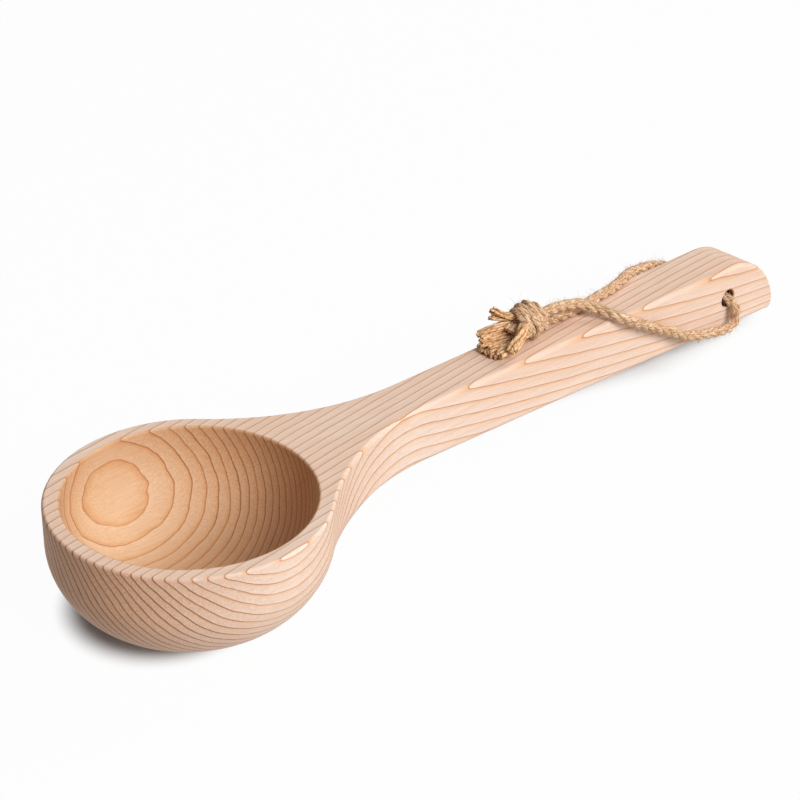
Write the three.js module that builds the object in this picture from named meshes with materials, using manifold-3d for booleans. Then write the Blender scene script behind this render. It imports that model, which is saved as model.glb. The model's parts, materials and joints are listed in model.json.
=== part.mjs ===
// Sauna ladle carved from one board, with a knotted jute cord through the end of its handle.
// Millimetres, +Z up. The ladle lies as on a bench, on the edge of its foot and the heel of its handle:
// X runs from the bowl to the handle's end, and the origin is under the middle of the wood.
import * as THREE from "three";
import { mergeVertices } from "three/addons/utils/BufferGeometryUtils.js";
import Module from "manifold-3d";

const wasm = await Module();
wasm.setup();

const { lerp, smoothstep } = THREE.MathUtils;
const QUARTER_TURN = Math.PI / 2;

// Bowl
const BOWL_OUTER_RADIUS = 52.4;
const BOWL_HEIGHT = 46;
const RIM_WALL = 6.4;
const BASE_WALL = 8;
const HOLLOW_POWER = 2.3;
const RIM_OUTER_EASE = 1.2;
const RIM_INNER_EASE = 0.9;
const FOOT_RADIUS = 24;
const FOOT_ROUND_HEIGHT = 30;
const FOOT_ROUND_POWER = 1.9;

// Neck and handle
const HANDLE_REACH = 337;
const NECK_WIDTH = 21.3;
const END_WIDTH = 25.6;
const NECK_THICKNESS = 26.2;
const END_THICKNESS = 32.4;
const NECK_FILLET_RADIUS = 111;
const NECK_UNDERSIDE_LENGTH = 56;
const HANDLE_TOP_EASE = 1.8;
const HANDLE_UNDER_EASE = 3;
const END_TOP_RADIUS = 35;
const END_CORNER_RADIUS = 1.8;
const END_EDGE_EASE = 1;

// Hanging hole
const HOLE_CORD_PLAY = 3.5;
const HOLE_EASE = 1;
const HOLE_FROM_END = 36.5;
const HOLE_BELOW_TOP = 15.4;

// Cord, its knot and its frayed strands
const CORD_DIAMETER = 4.5;
const STRAND_DIAMETER = 3.4;
const KNOT_RADIUS = 8;
const KNOT_EASE = 1.2;
const KNOT_LENGTH = 15;
const CORD_GAP = 0.3;

// How finely round stretches are stepped
const BOWL_STEPS = 24;
const NECK_STEPS = 14;
const HANDLE_STEPS = 9;
const END_ROUND_STEPS = 9;
const CORNER_STEPS = 5;
const END_STEPS = 3;
const TOP_STEPS = 5;
const EASE_STEPS = 5;
const FOOT_ROUND_STEPS = 8;
const UNDERSIDE_STEPS = 3;
const HOLLOW_STEPS = 14;
const LATHE_STEPS = 64;
const HOLE_STEPS = 32;
const CORD_SIDES = 10;
const CORD_STEPS = 72;
const STRAND_SIDES = 8;
const STRAND_STEPS = 6;
const KNOT_STEPS = 8;
const CUT_OVERRUN = 5;
const LEAST_TRIANGLE_AREA = 1e-6;
const TILT_PASSES = 8;

const bowlInnerRadius = BOWL_OUTER_RADIUS - RIM_WALL;
const neckHalfWidth = NECK_WIDTH / 2;
const endHalfWidth = END_WIDTH / 2;
const neckReach = FOOT_RADIUS + NECK_UNDERSIDE_LENGTH;

// Where the neck's fillets are struck from, and the angle at which they meet the bowl.
const filletReach = BOWL_OUTER_RADIUS + NECK_FILLET_RADIUS;
const filletSide = neckHalfWidth + NECK_FILLET_RADIUS;
const filletCentre = new THREE.Vector2(Math.sqrt(filletReach ** 2 - filletSide ** 2), filletSide);
const filletStart = filletCentre.angle();

// The end's round runs from the flat top down to the eased heel, so it is a little less than a quarter turn.
const endRoundDrop = END_THICKNESS - HANDLE_UNDER_EASE - END_EDGE_EASE;
const endRoundLength = Math.sqrt(END_TOP_RADIUS ** 2 - (END_TOP_RADIUS - endRoundDrop) ** 2);
const endRoundStart = HANDLE_REACH - endRoundLength;

// The hole runs straight across the handle, and the cord's places are counted from its middle.
const holeCentre = new THREE.Vector3(HANDLE_REACH - HOLE_FROM_END, 0, BOWL_HEIGHT - HOLE_BELOW_TOP);

// How far from the hole's middle the cord lies clear beside the handle, and on top of it.
const besideHandle = handleHalfWidth(holeCentre.x) + CORD_GAP + CORD_DIAMETER / 2;
const onHandle = HOLE_BELOW_TOP + CORD_GAP + CORD_DIAMETER / 2;

// The knot lies on the handle, with its flat faces across the cord.
const KNOT_CENTRE = [-121, 2, HOLE_BELOW_TOP + CORD_GAP + KNOT_RADIUS];
const knotLoopFace = KNOT_CENTRE[0] + KNOT_LENGTH / 2 + CORD_GAP;
const knotTailFace = KNOT_CENTRE[0] - KNOT_LENGTH / 2 - CORD_GAP;
const knotLoopStraight = knotLoopFace + CORD_DIAMETER / 2;
const knotTailStraight = knotTailFace - STRAND_DIAMETER / 2;

// The loop, from the knot along the near side of the handle, through the hole and back along the far side.
const LOOP_POINTS = [
  [knotLoopFace, -0.5, onHandle + 8.5],
  [knotLoopStraight, -0.5, onHandle + 8.5],
  [-102.7, 0.6, onHandle + 7],
  [-97.2, 0.4, onHandle + 6],
  [-92, -0.7, onHandle + 5],
  [-88.8, -2.4, onHandle + 3.5],
  [-85.5, -5.3, onHandle + 2.1],
  [-83.3, -8.6, onHandle + 1],
  [-81.8, -12.1, onHandle + 0.3],
  [-79.2, -besideHandle + 0.7, onHandle - 1.1],
  [-75.1, -besideHandle - 0.1, 14.7],
  [-66.6, -besideHandle - 0.3, 10.2],
  [-56.6, -besideHandle - 0.6, 5.2],
  [-46.8, -besideHandle - 1.2, 0.4],
  [-33.1, -besideHandle - 2.5, -6.2],
  [-14.7, -besideHandle - 3, -10.3],
  [-4, -besideHandle - 2.5, -12.1],
  [0.6, -besideHandle - 2, -10.9],
  [2.2, -besideHandle - 1.4, -7.4],
  [1.8, -besideHandle - 0.1, -3.4],
  [0.7, -besideHandle + 2.6, -0.8],
  [0, -besideHandle / 2, 0],
  [0, besideHandle / 2, 0],
  [0, besideHandle - 3, 0],
  [-0.4, besideHandle + 0.7, 1.4],
  [-5, besideHandle + 3.2, 5.4],
  [-15.1, besideHandle + 1.9, 10.4],
  [-25, besideHandle + 0.6, 13.8],
  [-34.5, besideHandle + 0.4, 14.8],
  [-45.4, besideHandle - 3.4, onHandle - 0.3],
  [-59.6, 7.1, onHandle],
  [-71.4, 5.5, onHandle],
  [-83.1, 4, onHandle],
  [-94.5, 3.2, onHandle],
  [knotLoopStraight, 2.6, onHandle + 1.9],
  [knotLoopFace, 2.6, onHandle + 1.9],
];

// The six strand ends beyond the knot: where each leaves it, how it bends and where it stops.
const STRAND_POINTS = [
  [[4.6, 26.9], [-133.5, 7.2, 28.2], [-137.5, 9.7, 29.5]],
  [[6.2, 23.1], [-137, 7.4, 22.2], [-145.2, 8.4, 21]],
  [[4.4, 19.6], [-138, 5.4, 18.2], [-146.6, 6.2, 17.5]],
  [[0.4, 19.3], [-138.5, 0.8, 17.8], [-147, 0.5, 17.5]],
  [[-2.6, 21.6], [-137.5, -3.3, 19], [-146.2, -4, 17.5]],
  [[-2.2, 25.6], [-135, -5.6, 23.6], [-142.5, -7.7, 19.8]],
];

const wood = new THREE.MeshStandardMaterial({ color: 0xdfb48f, roughness: 0.62, metalness: 0 });
const jute = new THREE.MeshStandardMaterial({ color: 0xb58d5e, roughness: 0.95, metalness: 0 });

// A closed geometry as a solid that can be cut.
function solidOf(geometry) {
  const bare = geometry.clone();
  bare.deleteAttribute("normal");
  bare.deleteAttribute("uv");
  const merged = mergeVertices(bare);
  return new wasm.Manifold(
    new wasm.Mesh({
      numProp: 3,
      vertProperties: new Float32Array(merged.attributes.position.array),
      triVerts: new Uint32Array(merged.index.array),
    }),
  );
}

// A cut solid as a geometry again.
function geometryOf(solid) {
  const { vertProperties, triVerts } = solid.getMesh();
  const geometry = new THREE.BufferGeometry();
  geometry.setAttribute("position", new THREE.BufferAttribute(vertProperties, 3));
  geometry.setIndex(new THREE.BufferAttribute(triVerts, 1));
  geometry.computeVertexNormals();
  return geometry;
}

// How far along the neck a place is: 0 under the bowl, 1 where the handle has its own thickness.
function neckShare(x) {
  return smoothstep(x, FOOT_RADIUS, neckReach);
}

// Half of the handle's width, which grows evenly from the neck to the end.
function handleHalfWidth(x) {
  const share = (x - filletCentre.x) / (HANDLE_REACH - END_CORNER_RADIUS - filletCentre.x);
  return lerp(neckHalfWidth, endHalfWidth, share);
}

// Height of the underside on the middle line: it climbs under the neck, then sinks as the handle thickens.
function undersideHeight(x) {
  const share = Math.max(0, (x - neckReach) / (HANDLE_REACH - neckReach));
  return neckShare(x) * (BOWL_HEIGHT - lerp(NECK_THICKNESS, END_THICKNESS, share));
}

// Height of the top, which is flat up to the rounded end of the handle.
function topHeight(x) {
  const past = Math.max(0, x - endRoundStart);
  return BOWL_HEIGHT - END_TOP_RADIUS + Math.sqrt(Math.max(0, END_TOP_RADIUS ** 2 - past ** 2));
}

// A plan direction at an angle from the handle's, drawn out to a radius.
function polar(angle, radius) {
  return new THREE.Vector2(Math.cos(angle), Math.sin(angle)).multiplyScalar(radius);
}

// A point on the plan's edge, the edge's outward direction, and where the section there meets the middle.
function station(edge, outward, middle, topEase) {
  return { edge, outward, middle, topEase };
}

// Half of the plan's edge: round the bowl from its tip, along neck and handle, and round the end's corner.
function planStations() {
  const stations = [];
  for (let i = 0; i <= BOWL_STEPS; i += 1) {
    const angle = lerp(Math.PI, filletStart, i / BOWL_STEPS);
    stations.push(station(polar(angle, BOWL_OUTER_RADIUS), polar(angle, 1), 0, RIM_OUTER_EASE));
  }
  for (let i = 1; i <= NECK_STEPS; i += 1) {
    const angle = lerp(filletStart, QUARTER_TURN, i / NECK_STEPS);
    const edge = filletCentre.clone().sub(polar(angle, NECK_FILLET_RADIUS));
    const ease = lerp(RIM_OUTER_EASE, HANDLE_TOP_EASE, neckShare(edge.x));
    stations.push(station(edge, polar(angle, 1), edge.x - edge.y / Math.tan(angle), ease));
  }
  const cornerCentre = new THREE.Vector2(HANDLE_REACH, endHalfWidth).subScalar(END_CORNER_RADIUS);
  const endMiddle = HANDLE_REACH - endHalfWidth;
  const handlePlaces = [];
  for (let i = 1; i <= HANDLE_STEPS; i += 1) {
    handlePlaces.push(lerp(filletCentre.x, endRoundStart, i / HANDLE_STEPS));
  }
  for (let i = 1; i <= END_ROUND_STEPS; i += 1) {
    handlePlaces.push(lerp(endRoundStart, cornerCentre.x, i / END_ROUND_STEPS));
  }
  for (const x of handlePlaces) {
    const edge = new THREE.Vector2(x, handleHalfWidth(x));
    stations.push(station(edge, polar(QUARTER_TURN, 1), Math.min(x, endMiddle), HANDLE_TOP_EASE));
  }
  for (let i = 1; i <= CORNER_STEPS; i += 1) {
    const angle = lerp(QUARTER_TURN, 0, i / CORNER_STEPS);
    const edge = cornerCentre.clone().add(polar(angle, END_CORNER_RADIUS));
    const ease = lerp(HANDLE_TOP_EASE, END_EDGE_EASE, i / CORNER_STEPS);
    stations.push(station(edge, polar(angle, 1), endMiddle, ease));
  }
  for (let i = 1; i <= END_STEPS; i += 1) {
    const edge = new THREE.Vector2(HANDLE_REACH, lerp(cornerCentre.y, 0, i / END_STEPS));
    stations.push(station(edge, polar(0, 1), endMiddle, END_EDGE_EASE));
  }
  return stations;
}

// One section of the blank, from the middle of the top over the edge to the middle of the underside.
function blankSection({ edge, outward, middle, topEase }) {
  const inward = new THREE.Vector2(middle, 0).sub(edge);
  const reach = inward.length();
  inward.normalize();
  const slant = -1 / inward.dot(outward);
  const share = neckShare(edge.x);
  const underWidth = lerp(BOWL_OUTER_RADIUS - FOOT_RADIUS, HANDLE_UNDER_EASE, share);
  const underHeight = lerp(FOOT_ROUND_HEIGHT, HANDLE_UNDER_EASE, share);
  const points = [];
  for (let i = 0; i < TOP_STEPS; i += 1) {
    const along = lerp(reach, topEase * slant, Math.sin((QUARTER_TURN * i) / TOP_STEPS));
    const place = edge.clone().addScaledVector(inward, along);
    points.push(new THREE.Vector3(place.x, i === 0 ? 0 : place.y, topHeight(place.x)));
  }
  for (let i = 0; i <= EASE_STEPS; i += 1) {
    const angle = (QUARTER_TURN * i) / EASE_STEPS;
    const place = edge.clone().addScaledVector(inward, topEase * (1 - Math.sin(angle)) * slant);
    points.push(new THREE.Vector3(place.x, place.y, topHeight(place.x) - topEase * (1 - Math.cos(angle))));
  }
  for (let i = 0; i <= FOOT_ROUND_STEPS; i += 1) {
    const angle = (QUARTER_TURN * i) / FOOT_ROUND_STEPS;
    const depth = underWidth * (1 - Math.cos(angle) ** (2 / FOOT_ROUND_POWER));
    const height = underHeight * (1 - Math.sin(angle) ** (2 / FOOT_ROUND_POWER));
    const place = edge.clone().addScaledVector(inward, depth * slant);
    points.push(new THREE.Vector3(place.x, place.y, undersideHeight(place.x) + height));
  }
  for (let i = 1; i <= UNDERSIDE_STEPS; i += 1) {
    const along = lerp(underWidth * slant, reach, i / UNDERSIDE_STEPS);
    const place = edge.clone().addScaledVector(inward, along);
    points.push(new THREE.Vector3(place.x, i === UNDERSIDE_STEPS ? 0 : place.y, undersideHeight(place.x)));
  }
  return points;
}

// The whole outside of the wood, skinned over the sections of one half and their mirror images.
function blankGeometry() {
  const sections = planStations().map(blankSection);
  const corners = [];
  const addTriangle = (...triangle) => {
    const flat = new THREE.Triangle(...triangle).getArea() < LEAST_TRIANGLE_AREA;
    if (!flat) corners.push(...triangle);
  };
  const mirrored = (point) => new THREE.Vector3(point.x, -point.y, point.z);
  for (let i = 1; i < sections.length; i += 1) {
    for (let j = 1; j < sections[i].length; j += 1) {
      const quad = [sections[i - 1][j - 1], sections[i - 1][j], sections[i][j], sections[i][j - 1]];
      const [a, b, c, d] = quad;
      const [ma, mb, mc, md] = quad.map(mirrored);
      addTriangle(a, c, b);
      addTriangle(a, d, c);
      addTriangle(ma, mb, mc);
      addTriangle(ma, mc, md);
    }
  }
  return new THREE.BufferGeometry().setFromPoints(corners);
}

// The bowl's hollow, with its lip eased outwards, as a solid to cut away.
function hollowGeometry() {
  const depth = BOWL_HEIGHT - BASE_WALL;
  const profile = [];
  for (let i = 0; i < HOLLOW_STEPS; i += 1) {
    const angle = (QUARTER_TURN * i) / HOLLOW_STEPS;
    const radius = bowlInnerRadius * Math.sin(angle) ** (2 / HOLLOW_POWER);
    profile.push([radius, BASE_WALL + depth * (1 - Math.cos(angle) ** (2 / HOLLOW_POWER))]);
  }
  const lipSteps = [0, Math.PI / 6, Math.PI / 3];
  for (const angle of lipSteps) {
    const radius = bowlInnerRadius + RIM_INNER_EASE * (1 - Math.cos(angle));
    profile.push([radius, BOWL_HEIGHT - RIM_INNER_EASE * (1 - Math.sin(angle))]);
  }
  const mouth = bowlInnerRadius + RIM_INNER_EASE;
  const above = BOWL_HEIGHT + CUT_OVERRUN;
  profile.push([mouth, BOWL_HEIGHT + RIM_INNER_EASE / 2], [mouth, above], [0, above]);
  const points = profile.map(([radius, height]) => new THREE.Vector2(radius, height));
  return new THREE.LatheGeometry(points, LATHE_STEPS).rotateX(QUARTER_TURN);
}

// The hanging hole with eased mouths, as a solid to cut away.
function holeGeometry() {
  const radius = (CORD_DIAMETER + HOLE_CORD_PLAY) / 2;
  const face = handleHalfWidth(holeCentre.x);
  const half = [
    [radius, face - HOLE_EASE],
    [radius + HOLE_EASE + CUT_OVERRUN, face + CUT_OVERRUN],
  ];
  const near = half.map(([r, y]) => [r, -y]).reverse();
  const profile = [[0, near[0][1]], ...near, ...half, [0, half[1][1]]];
  const points = profile.map(([r, y]) => new THREE.Vector2(r, y));
  return new THREE.LatheGeometry(points, HOLE_STEPS).translate(...holeCentre);
}

// The carved ladle: one board with its hollow and its hole.
function ladleGeometry() {
  const blank = solidOf(blankGeometry());
  const hollowed = blank.subtract(solidOf(hollowGeometry()));
  return geometryOf(hollowed.subtract(solidOf(holeGeometry())));
}

// A round tube through points that are counted from the hole's middle.
function tubeGeometry(places, diameter, sides, steps) {
  const corner = (_, i) => polar((2 * Math.PI * i) / sides, diameter / 2);
  const outline = new THREE.Shape(Array.from({ length: sides }, corner));
  const route = places.map((place) => new THREE.Vector3(...place).add(holeCentre));
  const extrudePath = new THREE.CatmullRomCurve3(route, false, "centripetal");
  return new THREE.ExtrudeGeometry(outline, { steps, extrudePath });
}

// The knot's bulk as a drum whose flat faces the cord's legs and strands meet.
function knotGeometry() {
  const half = KNOT_LENGTH / 2;
  const points = [new THREE.Vector2(0, -half)];
  for (let i = 0; i <= KNOT_STEPS; i += 1) {
    const along = lerp(-1, 1, i / KNOT_STEPS);
    points.push(new THREE.Vector2(KNOT_RADIUS - KNOT_EASE * along ** 4, half * along));
  }
  points.push(new THREE.Vector2(0, half));
  const centre = new THREE.Vector3(...KNOT_CENTRE).add(holeCentre);
  return new THREE.LatheGeometry(points, LATHE_STEPS / 2).rotateZ(-QUARTER_TURN).translate(...centre);
}

// The tilt at which the foot and the handle's heel touch the bench together.
function restTilt(geometry) {
  const places = geometry.getAttribute("position");
  const pointAt = (_, i) => new THREE.Vector3().fromBufferAttribute(places, i);
  const points = Array.from({ length: places.count }, pointAt);
  let tilt = 0;
  for (let pass = 0; pass < TILT_PASSES; pass += 1) {
    const drop = (point) => point.z * Math.cos(tilt) - point.x * Math.sin(tilt);
    const lowest = (low, point) => (drop(point) < drop(low) ? point : low);
    const foot = points.filter((point) => point.x < BOWL_OUTER_RADIUS).reduce(lowest);
    const heel = points.filter((point) => point.x > HANDLE_REACH / 2).reduce(lowest);
    tilt = Math.atan2(heel.z - foot.z, heel.x - foot.x);
  }
  return tilt;
}

function namedMesh(name, geometry, material) {
  const mesh = new THREE.Mesh(geometry, material);
  mesh.name = name;
  return mesh;
}

const ladleBody = namedMesh("ladle_body", ladleGeometry(), wood);
const cord = new THREE.Group();
cord.add(namedMesh("cord_loop", tubeGeometry(LOOP_POINTS, CORD_DIAMETER, CORD_SIDES, CORD_STEPS), jute));
cord.add(namedMesh("cord_knot", knotGeometry(), jute));
STRAND_POINTS.forEach(([leaving, ...rest], i) => {
  const route = [[knotTailFace, ...leaving], [knotTailStraight, ...leaving], ...rest];
  const strand = tubeGeometry(route, STRAND_DIAMETER, STRAND_SIDES, STRAND_STEPS);
  cord.add(namedMesh(`tail_strand_${i + 1}`, strand, jute));
});

// Wood and cord lie together, tilted on to the foot and the heel.
const resting = new THREE.Group();
resting.add(ladleBody, cord);
resting.rotation.y = restTilt(ladleBody.geometry);
resting.updateMatrixWorld(true);
const woodBox = new THREE.Box3().setFromObject(ladleBody, true);
resting.position.set(-(woodBox.min.x + woodBox.max.x) / 2, 0, -woodBox.min.z);

const ladle = new THREE.Group();
ladle.add(resting);

export default ladle;
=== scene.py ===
"""Looks of a sauna ladle: one carved softwood board with a knotted jute cord through its handle.

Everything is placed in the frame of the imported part, in metres. The wood is built in the board's own
frame, whose origin is the middle of the bowl's foot and whose top is level, and is then laid down.
"""

import json
import logging
import math
from dataclasses import dataclass, field
from enum import Enum
from typing import Iterable, Sequence

import bmesh
import bpy
import numpy as np
from mathutils import Matrix, Vector


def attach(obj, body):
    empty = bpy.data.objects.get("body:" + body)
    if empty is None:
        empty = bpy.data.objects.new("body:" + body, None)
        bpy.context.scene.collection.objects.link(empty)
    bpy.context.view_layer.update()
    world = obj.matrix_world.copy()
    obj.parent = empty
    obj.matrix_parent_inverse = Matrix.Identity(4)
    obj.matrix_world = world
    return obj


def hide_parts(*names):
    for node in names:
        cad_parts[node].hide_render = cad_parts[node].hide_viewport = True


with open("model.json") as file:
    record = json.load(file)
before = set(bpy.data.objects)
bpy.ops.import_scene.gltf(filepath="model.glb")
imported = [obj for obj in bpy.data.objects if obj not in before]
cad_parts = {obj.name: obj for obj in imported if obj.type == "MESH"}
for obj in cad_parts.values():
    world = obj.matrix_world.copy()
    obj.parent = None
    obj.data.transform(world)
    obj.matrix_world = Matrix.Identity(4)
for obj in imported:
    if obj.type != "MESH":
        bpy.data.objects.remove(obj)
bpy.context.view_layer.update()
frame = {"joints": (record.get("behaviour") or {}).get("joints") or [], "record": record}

MM = 0.001
LOG = logging.getLogger("sauna_ladle")

Array = np.ndarray
Place = tuple[float, float, float]
Row = list[bmesh.types.BMVert]
Socket = bpy.types.NodeSocket

WHITE = (1.0, 1.0, 1.0, 1.0)
MIXED = {"data_type": "RGBA", "blend_type": "MIX"}
TINTED = {"data_type": "RGBA", "blend_type": "MULTIPLY"}


def linear(hex_colour: str) -> tuple[float, float, float, float]:
    """Turns an sRGB colour such as "#C8A274" into a linear RGBA value."""
    channels = [int(hex_colour[i : i + 2], 16) / 255 for i in (1, 3, 5)]
    return (*[c / 12.92 if c <= 0.04045 else ((c + 0.055) / 1.055) ** 2.4 for c in channels], 1.0)


def smoothstep(low: float, high: float, value: float) -> float:
    """Eases from 0 at low to 1 at high."""
    share = min(1.0, max(0.0, (value - low) / (high - low)))
    return share * share * (3 - 2 * share)


def mix(a: float, b: float, share: float) -> float:
    """Goes from a to b as share goes from 0 to 1."""
    return a + (b - a) * share


class Body(Enum):
    """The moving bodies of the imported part."""

    LADLE = "ladle"
    CORD = "cord"


class Slot(Enum):
    """The record's material slots."""

    SOFTWOOD = "softwood"
    JUTE = "jute"


class NodeTree:
    """A material's or world's node tree, with one short way to add a node."""

    def __init__(self, owner: bpy.types.Material | bpy.types.World) -> None:
        """Starts an empty tree on a material or world.

        Args:
            owner: The material or world.
        """
        owner.use_nodes = True
        self.tree = owner.node_tree
        self.tree.nodes.clear()

    def add(self, kind: str, *values, stops: Sequence[tuple[float, str]] = (), **named) -> Socket | None:
        """Adds a node with its settings and links.

        Args:
            kind: The node's type name without the ShaderNode prefix, and its operation if it has one.
            values: Values or sockets for the inputs that it uses, in their order.
            stops: The places and colours of a colour ramp.
            named: The node's own settings, in lower case, and values or sockets for inputs by name.

        Returns:
            The first output that it uses, if it has any.
        """
        kind, _, operation = kind.partition(" ")
        node = self.tree.nodes.new("ShaderNode" + kind)
        if operation:
            node.operation = operation
        for name in [name for name in named if name.islower()]:
            setattr(node, name, named.pop(name))
        inputs = list(zip([socket for socket in node.inputs if socket.enabled], values))
        inputs += [(node.inputs[name.replace("_", " ")], value) for name, value in named.items()]
        for socket, value in inputs:
            if isinstance(value, Socket):
                self.tree.links.new(value, socket)
            else:
                socket.default_value = value
        if stops:
            elements = node.color_ramp.elements
            elements.remove(elements[-1])
            elements[0].position = stops[0][0]
            elements[0].color = linear(stops[0][1])
        for place, colour in stops[1:]:
            elements.new(place).color = linear(colour)
        return next((socket for socket in node.outputs if socket.enabled), None)

    def patches(self, place: Socket, per_mm: Place, detail: float, roughness: float = 0.5) -> Socket:
        """Makes an uneven pattern.

        Args:
            place: Where it is, in millimetres.
            per_mm: How many patches there are in a millimetre along each axis.
            detail: How many finer patterns lie on it.
            roughness: How strong those are.

        Returns:
            Its value, about 0.5 on average.
        """
        spread = self.add("VectorMath MULTIPLY", place, per_mm)
        return self.add("TexNoise", spread, Scale=1.0, Detail=detail, Roughness=roughness)


@dataclass(frozen=True)
class Board:
    """The board's own frame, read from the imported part: its foot gives the place and the tilt."""

    foot: Vector
    down: Vector
    hole: Vector

    @classmethod
    def from_record(cls) -> "Board":
        """Reads the foot's mount and the cord's hinge.

        Returns:
            The board's frame.
        """
        mounts = {mount["name"]: mount for mount in frame["record"]["mounts"]}
        hinge = frame["joints"][0]
        foot = mounts["foot"]
        return cls(Vector(foot["pos_m"]), Vector(foot["axis"]), Vector(hinge["pos_m"]))

    def tilt(self) -> float:
        """Gives the angle that the board lies at."""
        return math.atan2(-self.down.x, -self.down.z)

    def matrix(self) -> Matrix:
        """Gives the step from the board's frame, in metres, to the part's."""
        return Matrix.Translation(self.foot) @ Matrix.Rotation(self.tilt(), 4, "Y")

    def from_hole(self, points: Iterable[Sequence[float]]) -> list[Vector]:
        """Places points that are counted from the hole's middle, in millimetres in the board's frame."""
        turn = self.matrix().to_3x3()
        return [self.hole + turn @ (Vector(p) * MM) for p in points]


class SoftwoodFinish(NodeTree):
    """Bare softwood, planed and sanded, with its growth rings as layers through the whole board."""

    # Rings per millimetre along the board's length, width and thickness, and the count at its middle.
    ring_slope: Place = (0.0382, -0.2595, 0.1836)
    ring_start: float = -6.06
    middle: Place = (60.0, 0.0, 40.0)
    # The layers bend a little along the board, and the more so the further they are from its middle.
    ring_bend: float = -4.35e-5
    side_bend: float = -4.3e-6
    skew_bend: float = 1.6e-5
    height_bend: float = -1.2e-5
    # The way that the fibres run.
    fibre_way: Place = (0.99, 0.08, -0.1)
    latewood: str = "#86502C"
    # A ring's soft growth, from its start to its end.
    growth: tuple[tuple[float, str], ...] = (
        (0.0, "#EFDCCF"),
        (0.3, "#EBD8CC"),
        (0.7, "#ECD5C3"),
        (0.9, "#E7C5A8"),
        (1.0, "#DDB08B"),
    )
    # The middle of the hollow's mouth, which the hollow's own surface faces.
    hollow_mouth: Place = (0.0, 0.0, 46.0)
    # The hanging hole's middle, and the radii between which the painted shade on its wall ends.
    hole: Place = (300.5, 0.0, 30.6)
    painted_hole_shade: tuple[float, float] = (4.0, 4.8)

    def __init__(self, lies: Board) -> None:
        """Makes the material: pale early growth that warms into a thin brown line at each ring's end.

        Args:
            lies: The frame that the rings are counted in.
        """
        self.material = bpy.data.materials.new("softwood_planed_and_sanded")
        super().__init__(self.material)
        part = self.add("TexCoord").node.outputs
        turned = {"vector_type": "TEXTURE", "Rotation": (0.0, lies.tilt(), 0.0)}
        # The place in the board, in millimetres, and the way that the surface faces there.
        self.board = self.add("Mapping", part["Object"], Location=lies.foot, Scale=(MM, MM, MM), **turned)
        self.normal = self.add("Mapping", part["Normal"], **turned)
        # How squarely the surface cuts the fibres, and whether it is in the hollow.
        across = self.add("VectorMath DOT_PRODUCT", self.normal, self.fibre_way)
        self.across = self.add("Math ABSOLUTE", across)
        self.inside = self.hollow()
        # How far through its ring the place is, and the ring's own chance number.
        rings = self.ring_count()
        self.share = self.add("Math FRACT", rings)
        self.own = self.add("TexWhiteNoise", noise_dimensions="1D", W=self.add("Math FLOOR", rings))
        colour = self.end_grain_and_painted_shade(self.fibre_colour(self.ring_colour()))
        bump = self.add("Bump", Strength=0.35, Distance=0.00005, Height=self.surface_height())
        dull = {"Roughness": 0.62, "IOR": 1.5, "Specular_IOR_Level": 0.28}
        self.add("OutputMaterial", self.add("BsdfPrincipled", colour, Normal=bump, **dull))

    def hollow(self) -> Socket:
        """Finds the hollow's own surface, which faces the middle of its mouth.

        Returns:
            1 in the hollow and 0 outside it.
        """
        to_mouth = self.add("VectorMath SUBTRACT", self.hollow_mouth, self.board)
        to_mouth = self.add("VectorMath NORMALIZE", to_mouth)
        facing = self.add("VectorMath DOT_PRODUCT", self.normal, to_mouth)
        return self.add("MapRange", facing, From_Min=0.05, From_Max=0.3)

    def ring_count(self) -> Socket:
        """Counts the rings at a place in the board, with their bend, twist and hand-sized waves.

        Returns:
            The count, with its fraction.
        """
        place = self.add("VectorMath SUBTRACT", self.board, self.middle)
        along, side, up = self.add("SeparateXYZ", place).node.outputs
        count = self.add("VectorMath DOT_PRODUCT", place, self.ring_slope)
        count = self.add("Math ADD", count, self.ring_start)
        for one, other, amount in (
            (along, 1.0, self.ring_bend),
            (side, side, self.side_bend),
            (side, up, self.skew_bend),
            (up, up, self.height_bend),
        ):
            bent = self.add("Math MULTIPLY", along, self.add("Math MULTIPLY", one, other))
            count = self.add("Math MULTIPLY_ADD", bent, amount, count)
        # Waves about 35 mm long shift the lines, and 9 mm ones make them waver, most of all in the bowl.
        bowl = self.add("MapRange", along, From_Min=-20.0, From_Max=30.0, To_Min=0.5, To_Max=0.18)
        for per_mm, amount, detail in (((0.012, 0.03, 0.03), 0.2, 1.0), ((0.06, 0.11, 0.11), bowl, 2.0)):
            shift = self.add("Math SUBTRACT", self.patches(self.board, per_mm, detail), 0.5)
            count = self.add("Math MULTIPLY_ADD", shift, amount, count)
        return count

    def ring_line(self) -> Socket:
        """Finds the dark line at each ring's end: 0.4 mm wide however flat the cut, wider on end grain.

        Returns:
            1 on the line and 0 off it.
        """
        steep = self.add("VectorMath CROSS_PRODUCT", self.normal, self.ring_slope)
        steep = self.add("Math MAXIMUM", self.add("VectorMath LENGTH", steep), 0.0775)
        before = self.add("Math DIVIDE", self.add("Math SUBTRACT", 1.0, self.share), steep)
        width = self.add("Math MULTIPLY_ADD", self.inside, -0.5, 0.9)
        width = self.add("Math MULTIPLY_ADD", self.across, width, 0.9)
        before = self.add("Math DIVIDE", before, width)
        return self.add("MapRange", before, From_Min=0.2, From_Max=0.55, To_Min=1.0, To_Max=0.0)

    def line_depth(self) -> Socket:
        """Makes the dark lines deepest on end grain, fainter in the hollow, and each ring's its own.

        Returns:
            How far the line's colour covers the wood.
        """
        depth = self.add("MapRange", self.across, From_Min=0.1, From_Max=0.6, To_Min=0.4, To_Max=0.8)
        faint = self.add("Math MULTIPLY_ADD", self.own, -0.35, 1.0)
        faint = self.add("Math MULTIPLY_ADD", self.inside, -0.25, faint)
        return self.add("Math MULTIPLY", depth, faint)

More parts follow.
